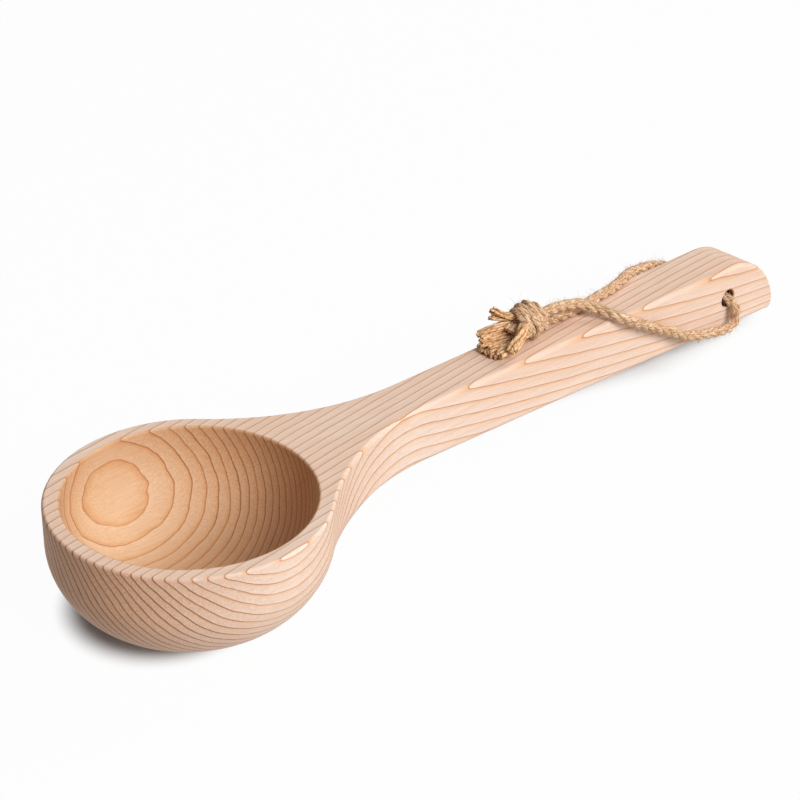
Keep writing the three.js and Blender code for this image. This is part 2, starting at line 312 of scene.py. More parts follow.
    def ring_colour(self) -> Socket:
        """Colours a ring from its soft early growth to the dense line at its end.

        Returns:
            The colour.
        """
        soft = self.add("ValToRGB", self.share, stops=self.growth)
        line = self.add("Math MULTIPLY", self.ring_line(), self.line_depth())
        return self.add("Mix", line, soft, linear(self.latewood), **MIXED)

    def fibre_colour(self, colour: Socket) -> Socket:
        """Adds the fine fibre streaks along the board, their cut ends and broad, faint clouds of tone.

        Args:
            colour: The rings' colour.

        Returns:
            The colour with them.
        """
        cut_ends = self.add("Math MULTIPLY_ADD", self.across, 0.7, 0.2)
        streaks = self.patches(self.board, (0.05, 1.7, 1.7), 3.0, 0.65)
        # Cut fibres are about 0.04 mm across and lie in rows, which show as specks of 0.5 mm.
        specks = self.patches(self.board, (2.0, 2.2, 1.2), 2.0, 0.7)
        clouds = self.patches(self.board, (0.008, 0.03, 0.03), 2.0)
        for amount, pattern, low, dark, high in (
            (1.0, streaks, 0.3, "#F1EAE4", 0.7),
            (cut_ends, specks, 0.36, "#E6DACF", 0.58),
            (0.8, clouds, 0.3, "#FBEDE2", 0.7),
        ):
            tone = self.add("ValToRGB", pattern, stops=[(low, dark), (high, "#FFFFFF")])
            colour = self.add("Mix", amount, colour, tone, **TINTED)
        return colour

    def end_grain_and_painted_shade(self, colour: Socket) -> Socket:
        """Deepens the colour where the cut runs across the fibres, and paints shade: warmer and darker in the
        hollow, dark on the hole's wall.

        Args:
            colour: The colour so far.

        Returns:
            The colour with them.
        """
        amount = self.add("Math MULTIPLY_ADD", self.inside, -0.65, 0.9)
        cut = self.add("Math MULTIPLY", self.add("Math POWER", self.across, 1.6), amount)
        # The hole's wall is painted darker, as the shade inside the hole.
        flat = self.add("VectorMath MULTIPLY", self.board, (1.0, 0.0, 1.0))
        from_hole = self.add("VectorMath DISTANCE", flat, self.hole)
        near, far = self.painted_hole_shade
        wall = self.add("MapRange", from_hole, From_Min=near, From_Max=far, To_Min=1.0, To_Max=0.0)
        # The cut's tint is the end grain's own colour; the hollow's tint is painted warm shade, and the hole
        # wall's tint is painted shade.
        for share, tint in ((cut, "#EBD3BC"), (self.inside, "#ECD9BD"), (wall, "#8F6849")):
            colour = self.add("Mix", share, colour, linear(tint), **TINTED)
        return colour

    def surface_height(self) -> Socket:
        """Raises the dense late growth a little and adds sanding marks.

        Returns:
            The height for the bump.
        """
        sanding = self.patches(self.board, (0.2, 3.0, 3.0), 2.0)
        ridge = self.add("Math POWER", self.share, 6.0)
        return self.add("Math MULTIPLY_ADD", ridge, 0.6, sanding)


@dataclass(frozen=True)
class JuteFinish:
    """Natural jute, spun into strands: dull golden fibres, with painted shade for the hollows between them
    and painted highlights on them.
    """

    name: str = "jute_spun_strand"
    # The pale stop is a painted highlight on the fibres, the middle stop is their own colour, and the dark
    # stop is painted shade between them.
    pale: str = "#F5DFC6"
    middle: str = "#DCB289"
    dark: str = "#8C5834"

    def material(self) -> bpy.types.Material:
        """Makes the material from streaks that run along the fibres, in strand lengths and turns.

        Returns:
            The material.
        """
        material = bpy.data.materials.new(self.name)
        nodes = NodeTree(material)
        wound = nodes.add("UVMap", uv_map="UVMap")
        # Fibres are about 0.1 mm thick and lie in bundles of 0.8 mm, which is what the picture can hold.
        fine = nodes.patches(wound, (0.38, 1.25, 1.0), 4.0, 0.7)
        colour = nodes.add("ValToRGB", fine, stops=[(0.34, self.dark), (0.47, self.middle), (0.6, self.pale)])
        clumps = nodes.patches(wound, (0.12, 0.3, 1.0), 2.0)
        tone = nodes.add("ValToRGB", clumps, stops=[(0.3, "#C9B498"), (0.65, "#FFFFFF")])
        colour = nodes.add("Mix", 0.7, colour, tone, **TINTED)
        bump = nodes.add("Bump", Strength=0.9, Distance=0.0003, Height=fine)
        dull = {"Roughness": 0.85, "IOR": 1.53, "Specular_IOR_Level": 0.2}
        nodes.add("OutputMaterial", nodes.add("BsdfPrincipled", colour, Normal=bump, **dull))
        return material


@dataclass(frozen=True)
class JuteFuzzFinish:
    """Loose jute fibres that stand off the strands, pale where light passes through them."""

    colour: str = "#EBD3B4"

    def material(self) -> bpy.types.Material:
        """Makes the material: matt and partly see-through to light.

        Returns:
            The material.
        """
        material = bpy.data.materials.new("jute_loose_fibre")
        nodes = NodeTree(material)
        matt = nodes.add("BsdfDiffuse", linear(self.colour))
        through = nodes.add("BsdfTranslucent", linear(self.colour))
        nodes.add("OutputMaterial", nodes.add("MixShader", 0.4, matt, through))
        return material


def add_object(name: str, mesh: bpy.types.Mesh) -> bpy.types.Object:
    """Links a mesh into the scene as an object.

    Args:
        name: Its name.
        mesh: Its shape.

    Returns:
        The object.
    """
    made = bpy.data.objects.new(name, mesh)
    bpy.context.scene.collection.objects.link(made)
    return made


def heading(angle: float) -> Array:
    """Gives a direction in the plan."""
    return np.array([math.cos(angle), math.sin(angle)])


@dataclass
class Station:
    """A place on the edge of the board's plan.

    Attributes:
        edge: The place itself.
        outward: The edge's outward direction.
        inner: Where the top face ends: on the hollow's lip or on the middle line.
        middle: How far along the middle line the section there runs to.
        ease: The radius of the top edge.
        lip: Whether inner is on the hollow's lip.
    """

    edge: Array
    outward: Array
    inner: Array
    middle: float
    ease: float
    lip: bool


@dataclass
class Ladle:
    """The carved board: bowl, neck and handle in one, in millimetres in the board's frame."""

    bowl_outer_radius: float = 52.4
    bowl_height: float = 46.0
    rim_wall: float = 6.4
    base_wall: float = 8.0
    hollow_power: float = 2.3
    rim_outer_ease: float = 1.2
    rim_inner_ease: float = 0.9
    foot_radius: float = 24.0
    foot_round_height: float = 30.0
    foot_round_power: float = 1.9
    handle_reach: float = 337.0
    neck_width: float = 21.3
    end_width: float = 25.6
    neck_thickness: float = 26.2
    end_thickness: float = 32.4
    neck_fillet_radius: float = 111.0
    neck_underside_length: float = 56.0
    handle_top_ease: float = 1.8
    handle_under_ease: float = 3.0
    end_top_radius: float = 35.0
    end_corner_radius: float = 1.8
    end_edge_ease: float = 1.0
    hole_radius: float = 4.0
    hole_ease: float = 1.0
    hole_from_end: float = 36.5
    hole_below_top: float = 15.4
    # Half the width of the patch around the hole whose mesh runs round it, and its steps each way.
    patch_half: float = 8.0
    patch_steps: int = 10
    patch_first_row: int = 3
    # Steps of the plan round the bowl, along each half of the neck, along the handle and round its end.
    bowl_steps: int = 72
    neck_steps: int = 24
    handle_steps: int = 48
    end_steps: int = 22
    corner_steps: int = 10
    face_steps: int = 8
    # Steps of a section: the hollow and its lip, then the top, its edge, the wall, the round and the foot.
    hollow_steps: int = 32
    lip_steps: int = 5
    top_steps: int = 12
    edge_steps: int = 9
    wall_steps: int = 16
    round_steps: int = 18
    foot_steps: int = 5

    def __post_init__(self) -> None:
        """Works out the neck's fillets, the end's round and the hole's place."""
        self.inner_radius = self.bowl_outer_radius - self.rim_wall
        self.lip_radius = self.inner_radius + self.rim_inner_ease
        self.neck_half = self.neck_width / 2
        self.end_half = self.end_width / 2
        self.neck_reach = self.foot_radius + self.neck_underside_length
        reach = self.bowl_outer_radius + self.neck_fillet_radius
        side = self.neck_half + self.neck_fillet_radius
        self.fillet = np.array([math.sqrt(reach**2 - side**2), side])
        drop = self.end_thickness - self.handle_under_ease - self.end_edge_ease
        self.round_length = math.sqrt(self.end_top_radius**2 - (self.end_top_radius - drop) ** 2)
        self.round_start = self.handle_reach - self.round_length
        self.hole_x = self.handle_reach - self.hole_from_end
        self.hole_z = self.bowl_height - self.hole_below_top

    def neck_share(self, x: float) -> float:
        """Says how far along the neck a place is: 0 under the bowl, 1 on the handle."""
        return smoothstep(self.foot_radius, self.neck_reach, x)

    def half_width(self, x: float) -> float:
        """Gives half of the handle's width, which grows evenly to the end."""
        corner = self.handle_reach - self.end_corner_radius
        return mix(self.neck_half, self.end_half, (x - self.fillet[0]) / (corner - self.fillet[0]))

    def underside(self, x: float) -> float:
        """Gives the underside's height on the middle line."""
        share = max(0.0, (x - self.neck_reach) / (self.handle_reach - self.neck_reach))
        return self.neck_share(x) * (self.bowl_height - mix(self.neck_thickness, self.end_thickness, share))

    def top(self, x: float) -> float:
        """Gives the top's height, level up to the rounded end."""
        past = max(0.0, x - self.round_start)
        return self.bowl_height - self.end_top_radius + math.sqrt(max(0.0, self.end_top_radius**2 - past**2))

    def bowl_stations(self) -> list[Station]:
        """Goes round the bowl from its tip to the neck's fillet.

        Returns:
            The stations, in order.
        """
        start = math.atan2(self.fillet[1], self.fillet[0])
        made = []
        for angle in np.linspace(math.pi, start, self.bowl_steps + 1):
            way = heading(angle)
            edge = way * self.bowl_outer_radius
            made.append(Station(edge, way, way * self.lip_radius, 0.0, self.rim_outer_ease, True))
        return made

    def neck_stations(self) -> list[Station]:
        """Goes along the neck's fillet, whose first stretch still meets the hollow's lip.

        Returns:
            The stations, in order.
        """
        on_lip = np.linspace(0.0, self.lip_radius, self.neck_steps + 1)[1:]
        beyond = np.linspace(self.lip_radius, self.fillet[0], self.neck_steps + 1)[1:]
        made = []
        for middle in [*on_lip, *beyond]:
            angle = math.atan2(self.fillet[1], self.fillet[0] - middle)
            way = heading(angle)
            edge = self.fillet - way * self.neck_fillet_radius
            lip = middle <= self.lip_radius
            inner = np.array([middle, 0.0])
            if lip:
                within = max(0.0, self.lip_radius**2 - (middle * way[1]) ** 2)
                inner = inner + way * (math.sqrt(within) - middle * way[0])
            ease = mix(self.rim_outer_ease, self.handle_top_ease, self.neck_share(edge[0]))
            made.append(Station(edge, way, inner, middle, ease, lip))
        return made

    def handle_stations(self) -> list[Station]:
        """Goes along the handle and round its end.

        Returns:
            The stations, in order.
        """
        corner = np.array([self.handle_reach, self.end_half]) - self.end_corner_radius
        end_middle = self.handle_reach - self.end_half
        near, far = self.hole_x - self.patch_half, self.hole_x + self.patch_half
        places = [
            *np.linspace(self.fillet[0], near, self.handle_steps + 1)[1:],
            *np.linspace(near, far, self.patch_steps + 1)[1:],
            *np.linspace(far, corner[0], self.end_steps + 1)[1:],
        ]
        made = []
        side = np.array([0.0, 1.0])
        for x in places:
            middle = min(x, end_middle)
            edge = np.array([x, self.half_width(x)])
            made.append(Station(edge, side, np.array([middle, 0.0]), middle, self.handle_top_ease, False))
        inner = np.array([end_middle, 0.0])
        for share in np.linspace(0, 1, self.corner_steps + 1)[1:]:
            angle = mix(math.pi / 2, 0.0, share)
            way = heading(angle)
            edge = corner + way * self.end_corner_radius
            ease = mix(self.handle_top_ease, self.end_edge_ease, share)
            made.append(Station(edge, way, inner, end_middle, ease, False))
        for y in np.linspace(corner[1], 0.0, self.face_steps + 1)[1:]:
            edge = np.array([self.handle_reach, y])
            made.append(Station(edge, np.array([1.0, 0.0]), inner, end_middle, self.end_edge_ease, False))
        return made

    def hollow_section(self, station: Station) -> list[Place]:
        """Runs from the hollow's bottom up to its lip, under a station's inner end.

        Args:
            station: The place on the plan's edge.

        Returns:
            The section's points.
        """
        way = station.inner / np.linalg.norm(station.inner)
        depth = self.bowl_height - self.base_wall
        power = 2 / self.hollow_power
        made = []
        for angle in np.linspace(0.0, math.radians(88.5), self.hollow_steps + 1):
            radius = self.inner_radius * math.sin(angle) ** power
            height = self.base_wall + depth * (1 - math.cos(angle) ** power)
            made.append((*(way * radius), height))
        for angle in np.linspace(0.0, math.pi / 2, self.lip_steps + 1)[:-1]:
            radius = self.inner_radius + self.rim_inner_ease * (1 - math.cos(angle))
            height = self.bowl_height - self.rim_inner_ease * (1 - math.sin(angle))
            made.append((*(way * radius), height))
        return made

    def shell_section(self, station: Station) -> list[Place]:
        """Runs from a station's inner end over the top edge and round to the middle of the underside.

        Args:
            station: The place on the plan's edge.

        Returns:
            The section's points.
        """
        edge = station.edge
        inward = np.array([station.middle, 0.0]) - edge
        reach = float(np.linalg.norm(inward))
        inward = inward / reach
        slant = -1 / float(inward @ station.outward)
        share = self.neck_share(edge[0])
        under_width = mix(self.bowl_outer_radius - self.foot_radius, self.handle_under_ease, share)
        under_height = mix(self.foot_round_height, self.handle_under_ease, share)
        inner_reach = float(np.linalg.norm(station.inner - edge))
        made = []
        for step in np.linspace(0.0, 1.0, self.top_steps + 1)[:-1]:
            spot = edge + inward * mix(inner_reach, station.ease * slant, math.sin(step * math.pi / 2))
            made.append((*spot, self.top(spot[0])))
        for angle in np.linspace(0.0, math.pi / 2, self.edge_steps + 1):
            spot = edge + inward * station.ease * (1 - math.sin(angle)) * slant
            made.append((*spot, self.top(spot[0]) - station.ease * (1 - math.cos(angle))))
        wall_top = made[-1][2]
        wall_foot = self.underside(edge[0]) + under_height
        for step in np.linspace(0.0, 1.0, self.wall_steps + 1)[1:-1]:
            made.append((*edge, mix(wall_top, wall_foot, step)))
        power = 2 / self.foot_round_power
        for angle in np.linspace(0.0, math.pi / 2, self.round_steps + 1):
            depth = under_width * (1 - max(0.0, math.cos(angle)) ** power)
            height = under_height * (1 - math.sin(angle) ** power)
            spot = edge + inward * depth * slant
            made.append((*spot, self.underside(spot[0]) + height))
        for step in np.linspace(0.0, 1.0, self.foot_steps + 1)[1:]:
            spot = edge + inward * mix(under_width * slant, reach, step)
            made.append((*spot, self.underside(spot[0])))
        return made

    def build(self) -> bpy.types.Mesh:
        """Skins the board over both halves' sections and cuts in the hanging hole.

        Returns:
            The mesh, in metres.
        """
        stations = [*self.bowl_stations(), *self.neck_stations(), *self.handle_stations()]
        last = len(stations) - self.face_steps - self.corner_steps - self.end_steps - 1
        patch = range(last - self.patch_steps, last)
        wall_row = self.top_steps + self.edge_steps
        rows = range(wall_row + self.patch_first_row, wall_row + self.wall_steps - self.patch_first_row)
        work = bmesh.new()
        self.line_hole(work, [self.skin_half(work, stations, side, patch, rows) for side in (1, -1)])
        bmesh.ops.remove_doubles(work, verts=work.verts, dist=1e-4)
        bmesh.ops.dissolve_degenerate(work, edges=work.edges, dist=1e-4)
        bmesh.ops.recalc_face_normals(work, faces=work.faces)
        bmesh.ops.scale(work, vec=(MM, MM, MM), verts=work.verts)
        for face in work.faces:
            face.smooth = True
        mesh = bpy.data.meshes.new("ladle_wood")
        work.to_mesh(mesh)
        work.free()
        return mesh

    def skin_half(
        self, work: bmesh.types.BMesh, stations: list[Station], side: int, patch: range, rows: range
    ) -> Row:
        """Skins one half of the board.

        Args:
            work: The mesh in the making.
            stations: The plan's edge.
            side: 1 for the far half and -1 for the near one.
            patch: The stations whose wall is left open for the hole.
            rows: The rows of that opening.

        Returns:
            The opening's edge, in order round the hole.
        """

        def vertices(points: Iterable[Place]) -> Row:
            """Adds a section's points on this side."""
            return [work.verts.new((x, side * y, z)) for x, y, z in points]

        def quads(a: Row, b: Row, skip: range) -> None:
            """Joins two sections, but for the rows to skip."""
            for j in range(len(a) - 1):
                if j not in skip:
                    work.faces.new((a[j], a[j + 1], b[j + 1], b[j]))

        shells = [vertices(self.shell_section(s)) for s in stations]
        lips = [(s, shell[0]) for s, shell in zip(stations, shells) if s.lip]
        hollows = [[*vertices(self.hollow_section(s)), lip] for s, lip in lips]
        for a, b in zip(hollows, hollows[1:]):
            quads(a, b, range(0))
        for i, (a, b) in enumerate(zip(shells, shells[1:])):
            quads(a, b, rows if i in patch else range(0))
        low, high = rows[0], rows[-1] + 1
        left, right = patch[0], patch[-1] + 1
        loop = [shells[i][low] for i in range(left, right)]
        loop += [shells[right][j] for j in range(low, high)]
        loop += [shells[i][high] for i in range(right, left, -1)]
        loop += [shells[left][j] for j in range(high, low, -1)]
        return loop

    def line_hole(self, work: bmesh.types.BMesh, loops: list[Row]) -> None:
        """Runs the mesh from both openings over the hole's eased mouths and through the hole.

        Args:
            work: The mesh in the making.
            loops: The openings' edges.
        """

        def ring(like: Row, radius: float, sunk: float) -> Row:
            """Adds a ring round the hole, sunk below the handle's side, in line with an opening's edge."""
            made = []
            for v in like:
                way = Vector((v.co.x - self.hole_x, 0, v.co.z - self.hole_z)).normalized() * radius
                x = self.hole_x + way.x
                face = self.half_width(x) - sunk
                made.append(work.verts.new((x, math.copysign(face, v.co.y), self.hole_z + way.z)))
            return made

        def bridge(a: Row, b: Row) -> None:
            """Joins two rings."""
            for j in range(len(a)):
                k = (j + 1) % len(a)
                work.faces.new((a[j], a[k], b[k], b[j]))

        mouths = []
        for loop in loops:
            last = loop
            for outer in (0.8, 0.2, 0.0):
                nxt = ring(loop, self.hole_radius + self.hole_ease + outer, 0.0)
                bridge(last, nxt)
                last = nxt
            for angle in np.linspace(0.0, math.pi / 2, self.lip_steps + 1)[1:]:
                radius = self.hole_radius + self.hole_ease * (1 - math.sin(angle))
                nxt = ring(loop, radius, self.hole_ease * (1 - math.cos(angle)))
                bridge(last, nxt)
                last = nxt
            mouths.append(last)
        bridge(mouths[0], mouths[1])

    def dress(self, board: Board) -> bpy.types.Object:
        """Builds the wood, lays it down and gives it its finish.

        Args:
            board: The frame that it lies in.

        Returns:
            The wood.
        """
        wood = add_object("ladle_wood", self.build())
        wood.data.transform(board.matrix())
        wood.data.materials.append(SoftwoodFinish(board).material)
        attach(wood, Body.LADLE.value)
        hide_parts("ladle_body")
        return wood


def runs(line: Array) -> Array:
    """Gives how far along a line each of its points is."""
    return np.concatenate([[0.0], np.cumsum(np.linalg.norm(np.diff(line, axis=0), axis=1))])


def smooth_route(points: Sequence[Vector], spacing: float) -> Array:
    """Draws a smooth line through points.

    Args:
        points: The places that the line goes through, in metres.
        spacing: The distance between the line's own points, in metres.

    Returns:
        Evenly spaced places along the line, one a row.
    """
    route = np.array([list(p) for p in points])
    padded = np.vstack([2 * route[0] - route[1], route, 2 * route[-1] - route[-2]])
    knots = np.concatenate([[0.0], np.cumsum(np.diff(runs(padded)) ** 0.5)])
    rounds = ((0, 1), (1, 2), (2, 3)), ((0, 2), (1, 3)), ((1, 2),)
    dense = []
    for i in range(1, len(padded) - 2):
        spots = padded[i - 1 : i + 3]
        times = knots[i - 1 : i + 3]
        t = np.linspace(times[1], times[2], 40, endpoint=False)[:, None]
        for spans in rounds:
            shares = [(t - times[a]) / (times[b] - times[a]) for a, b in spans]
            spots = [(1 - share) * p + share * q for share, p, q in zip(shares, spots, spots[1:])]
        dense.append(spots[0])
    line = np.vstack([*dense, route[-1:]])
    run = runs(line)
    even = np.linspace(0.0, run[-1], max(4, int(round(run[-1] / spacing)) + 1))
    return np.stack([np.interp(even, run, line[:, k]) for k in range(3)], axis=1)


def moving_axes(line: Array) -> tuple[Array, Array]:
    """Gives two directions across a line at each of its points, turning as little as they can.

    Args:
        line: The line's points, one a row.

    Returns:
        Both directions, one a row.
    """
    ahead = np.gradient(line, axis=0)
    ahead /= np.linalg.norm(ahead, axis=1)[:, None]
    start = np.cross(ahead[0], [0.0, 0.0, 1.0])
    if np.linalg.norm(start) < 0.2:
        start = np.cross(ahead[0], [0.0, 1.0, 0.0])
    across = [start / np.linalg.norm(start)]
    for way in ahead[1:]:
        flat = across[-1] - way * (across[-1] @ way)
        across.append(flat / np.linalg.norm(flat))
    across = np.array(across)
    return across, np.cross(ahead, across)


@dataclass
class TubeMesh:
    """Tubes gathered into one mesh, with their lengths and turns in millimetres as UV."""

    sides: int = 10
    verts: list = field(default_factory=list)
    faces: list = field(default_factory=list)
    uvs: list = field(default_factory=list)

    def add(self, line: Array, radii: Array, turn: float = 0.0, shift: float = 0.0) -> None:
        """Adds a closed tube.

        Args:
            line: The tube's middle line, in metres.
            radii: Its radius at each point of the line.
            turn: How fast its fibres turn round it, in millimetres round for each millimetre along.
            shift: A length added to its UV, so that no two tubes look alike.
        """
        first = len(self.verts)
        one, two = moving_axes(line)
        run = runs(line) / MM
        angles = np.linspace(0.0, 2 * math.pi, self.sides, endpoint=False)
        for i, spot in enumerate(line):
            for angle in angles:
                self.verts.append(spot + radii[i] * (math.cos(angle) * one[i] + math.sin(angle) * two[i]))
        mean = float(np.mean(radii)) / MM

        def uv(i: int, k: int) -> tuple[float, float]:
            """Gives the place along and round the tube."""
            around = 2 * math.pi * mean * k / self.sides
            return (run[i] + shift, around + turn * run[i] + shift * 3.1)

        for i in range(len(line) - 1):
            for k in range(self.sides):
                n = (k + 1) % self.sides
                a, b = first + i * self.sides, first + (i + 1) * self.sides
                self.faces.append((a + k, a + n, b + n, b + k))
                self.uvs.append([uv(i, k), uv(i, k + 1), uv(i + 1, k + 1), uv(i + 1, k)])
        for i, order in ((0, -1), (len(line) - 1, 1)):
            cap = [first + i * self.sides + k for k in range(self.sides)][::order]
            self.faces.append(tuple(cap))
            self.uvs.append([(run[i] + shift, 0.3 * k) for k in range(self.sides)])

    def piece(self, name: str) -> bpy.types.Object:
        """Makes the gathered tubes one smooth piece.

        Args:
            name: Its name.

        Returns:
            The piece.
        """
        made = bpy.data.meshes.new(name)
        made.from_pydata([tuple(v) for v in self.verts], [], self.faces)
        layer = made.uv_layers.new(name="UVMap")
        flat = [value for face in self.uvs for pair in face for value in pair]
        layer.data.foreach_set("uv", flat)
        made.polygons.foreach_set("use_smooth", [True] * len(made.polygons))
        made.update()
        return add_object(name, made)


@dataclass
class Cord:
    """The hanging cord: three-strand jute rope, doubled and knotted, in millimetres from the hole."""

    diameter: float = 4.5
    lay_length: float = 18.0
    strand_offset: float = 1.15
    yarn_offset: float = 0.73
    yarn_lay_length: float = 14.0
    yarn_radius: float = 0.53
    knot_centre: Place = (-121.0, 2.0, 23.7)
    knot_core_radius: float = 5.4
    # The wraps' number, the length that they cover, how far their middles stand off the core, how much less
    # they do at both ends, how far each leans along the knot, and how unevenly they lie.
    wraps: int = 10
    knot_length: float = 11.4
    wrap_lift: float = 1.5
    wrap_taper: float = 4.0
    wrap_lean: float = 2.8
    wrap_waver: float = 0.35
    # How far the rope runs on into the knot beyond the loop's own ends.
    hidden_run: float = 4.0
    tail_radius: float = 2.0
    tail_yarns: int = 18
    # The slim strand end that splits in two, its own size, and how far its halves bend apart.
    forked_tail: int = 0
    forked_radius: float = 1.45
    forked_yarns: int = 12
    fork: float = 1.7
    # Loose fibres on the loop, on the wraps and on the strand ends, their lengths and their taper.
    rope_hairs: int = 3200
    wrap_hairs: int = 600
    tail_hairs: int = 500
    hair_lengths: tuple[float, float] = (0.7, 2.8)
    hair_radii: tuple[float, ...] = (0.05, 0.05, 0.045, 0.035, 0.02)
    # The distance between a laid line's points.
    spacing: float = 0.6
    seed: int = 7
    # The loop from the knot along the near side, through the hole and back along the far side.
    loop: tuple[Place, ...] = (
        (-113.2, -0.5, 26.4), (-110.9, -0.5, 26.4), (-102.7, 0.6, 24.9), (-97.2, 0.4, 23.9),
        (-92.0, -0.7, 22.9), (-88.8, -2.4, 21.4), (-85.5, -5.3, 20.0), (-83.3, -8.6, 18.9),
        (-81.8, -12.1, 18.2), (-79.2, -14.3, 16.8), (-75.1, -15.1, 14.7), (-66.6, -15.3, 10.2),
        (-56.6, -15.6, 5.2), (-46.8, -16.2, 0.4), (-33.1, -17.5, -6.2), (-14.7, -18.0, -10.3),
        (-4.0, -17.5, -12.1), (0.6, -17.0, -10.9), (2.2, -16.4, -7.4), (1.8, -15.1, -3.4),
        (0.7, -12.4, -0.8), (0.0, -7.5, 0.0), (0.0, 7.5, 0.0), (0.0, 12.0, 0.0),
        (-0.4, 15.7, 1.4), (-5.0, 18.2, 5.4), (-15.1, 16.9, 10.4), (-25.0, 15.6, 13.8),
        (-34.5, 15.4, 14.8), (-45.4, 11.6, 17.6), (-59.6, 7.1, 17.9), (-71.4, 5.5, 17.9),
        (-83.1, 4.0, 17.9), (-94.5, 3.2, 17.9), (-110.9, 2.6, 19.8), (-113.2, 2.6, 19.8),
    )
    # Where each strand end starts inside the knot, bends and stops.
    tails: tuple[tuple[Place, ...], ...] = (
        ((-121.0, 2.6, 27.0), (-128.8, 4.6, 27.3), (-133.5, 7.2, 28.2), (-137.5, 9.7, 29.5)),
        ((-121.0, 4.0, 24.0), (-128.8, 6.2, 23.1), (-137.0, 7.4, 22.2), (-145.2, 8.4, 21.0)),
        ((-121.0, 3.0, 22.0), (-128.8, 4.4, 19.9), (-138.0, 5.4, 18.4), (-146.6, 6.2, 17.6)),
        ((-121.0, 1.0, 22.0), (-128.8, 0.4, 19.5), (-138.5, 0.8, 18.0), (-147.0, 0.5, 17.6)),
        ((-121.0, -1.0, 22.6), (-128.8, -2.6, 21.6), (-137.5, -3.3, 19.0), (-146.2, -4.0, 17.6)),
        ((-121.0, -1.0, 25.0), (-128.8, -2.2, 25.2), (-135.0, -5.6, 23.6), (-142.5, -7.7, 19.8)),
    )

    def laid(self, line: Array, count: int, offset: float, lay: float, phase: float = 0.0) -> list[Array]:
        """Lays strands or yarns round a line.

        Args:
            line: The middle line, in metres.
            count: How many go round it.
            offset: How far their middles are from it, in millimetres.
            lay: The length of a full turn, in millimetres, below 0 for a left-hand turn.
            phase: The angle that the first one starts at.

        Returns:
            Their middle lines.
        """
        one, two = moving_axes(line)
        run = runs(line)
        made = []
        for k in range(count):
            angle = phase + 2 * math.pi * (k / count + run / (lay * MM))
            made.append(line + offset * MM * (np.cos(angle)[:, None] * one + np.sin(angle)[:, None] * two))
        return made

    def add_strand(self, tubes: TubeMesh, line: Array, size: float, chance: np.random.Generator) -> None:
        """Adds one strand as six yarns twisted round a seventh.

        Args:
            tubes: The mesh in the making.
            line: The strand's middle line, in metres.
            size: Its size against a strand of the rope.
            chance: Gives each yarn its own thickness and tone.
        """
        yarns = self.laid(line, 6, self.yarn_offset * size, -self.yarn_lay_length, chance.uniform(0, 6))
        for yarn in [line, *yarns]:
            waver = np.convolve(chance.normal(size=len(yarn) + 8), np.ones(9) / 9, "valid")
            radii = self.yarn_radius * size * MM * (1 + 0.25 * waver)
            tubes.add(yarn, radii, turn=0.3, shift=float(chance.uniform(0, 400)))

    def rope(self, board: Board) -> tuple[bpy.types.Object, Array]:
        """Builds the loop's rope.

        Args:
            board: The frame that the cord is placed in.

        Returns:
            The rope and its middle line.
        """
        (x0, y0, z0), (x1, y1, z1) = self.loop[0], self.loop[-1]
        ends = (x0 - self.hidden_run, y0, z0), (x1 - self.hidden_run, y1, z1)
        line = smooth_route(board.from_hole((ends[0], *self.loop, ends[1])), self.spacing * MM)
        tubes = TubeMesh(sides=6)
        chance = np.random.default_rng(self.seed)
        for strand in self.laid(line, 3, self.strand_offset, self.lay_length):
            self.add_strand(tubes, strand, 1.0, chance)
        return tubes.piece("cord_rope"), line

    def knot(self, board: Board) -> tuple[bpy.types.Object, list[Array]]:
        """Builds the knot: strands of the doubled rope, wrapped over a core.

        Args:
            board: The frame that the cord is placed in.

        Returns:
            The knot and its wraps' middle lines.
        """
        x0, y0, z0 = self.knot_centre
        tubes = TubeMesh(sides=6)
        chance = np.random.default_rng(self.seed + 1)
        lines = []
        for k in range(self.wraps):
            spread = k / (self.wraps - 1) - 0.5
            bulge = self.knot_core_radius + self.wrap_lift - self.wrap_taper * spread**2
            bulge += 0.2 * chance.normal()
            lean = self.wrap_lean + self.wrap_waver * chance.normal()
            points = []
            for angle in np.linspace(0.0, 2 * math.pi, 13):
                reach = bulge + 0.4 * math.sin(2 * angle + 1.7 * k) + 0.2 * chance.normal()
                along = x0 - 0.4 + self.knot_length * spread + lean * math.sin(angle + 2.6)
                along += self.wrap_waver * chance.normal()
                points.append((along, y0 + 0.7 + reach * math.cos(angle), z0 + reach * math.sin(angle)))
            line = smooth_route(board.from_hole(points), self.spacing * MM)
            self.add_strand(tubes, line, chance.uniform(0.7, 0.88), chance)
            lines.append(line)
        # The strands' roots fill the knot's mouth between the strand ends.
        for side in (-2.0, 0.0, 2.0):
            root = [(x0 - 4.0, y0 + side, z0 + 0.8), (x0 - 12.5, y0 + 1.2 * side, z0 - 0.8)]
            line = smooth_route(board.from_hole(root), self.spacing * MM)
            self.add_strand(tubes, line, 1.0, chance)
        core = [(x0 + dx, y0, z0) for dx in (-6.0, 0.0, 5.0)]
        line = smooth_route(board.from_hole(core), 1.0 * MM)
        tubes.add(line, np.full(len(line), self.knot_core_radius * 0.95 * MM))
        return tubes.piece("cord_knot_wraps"), lines

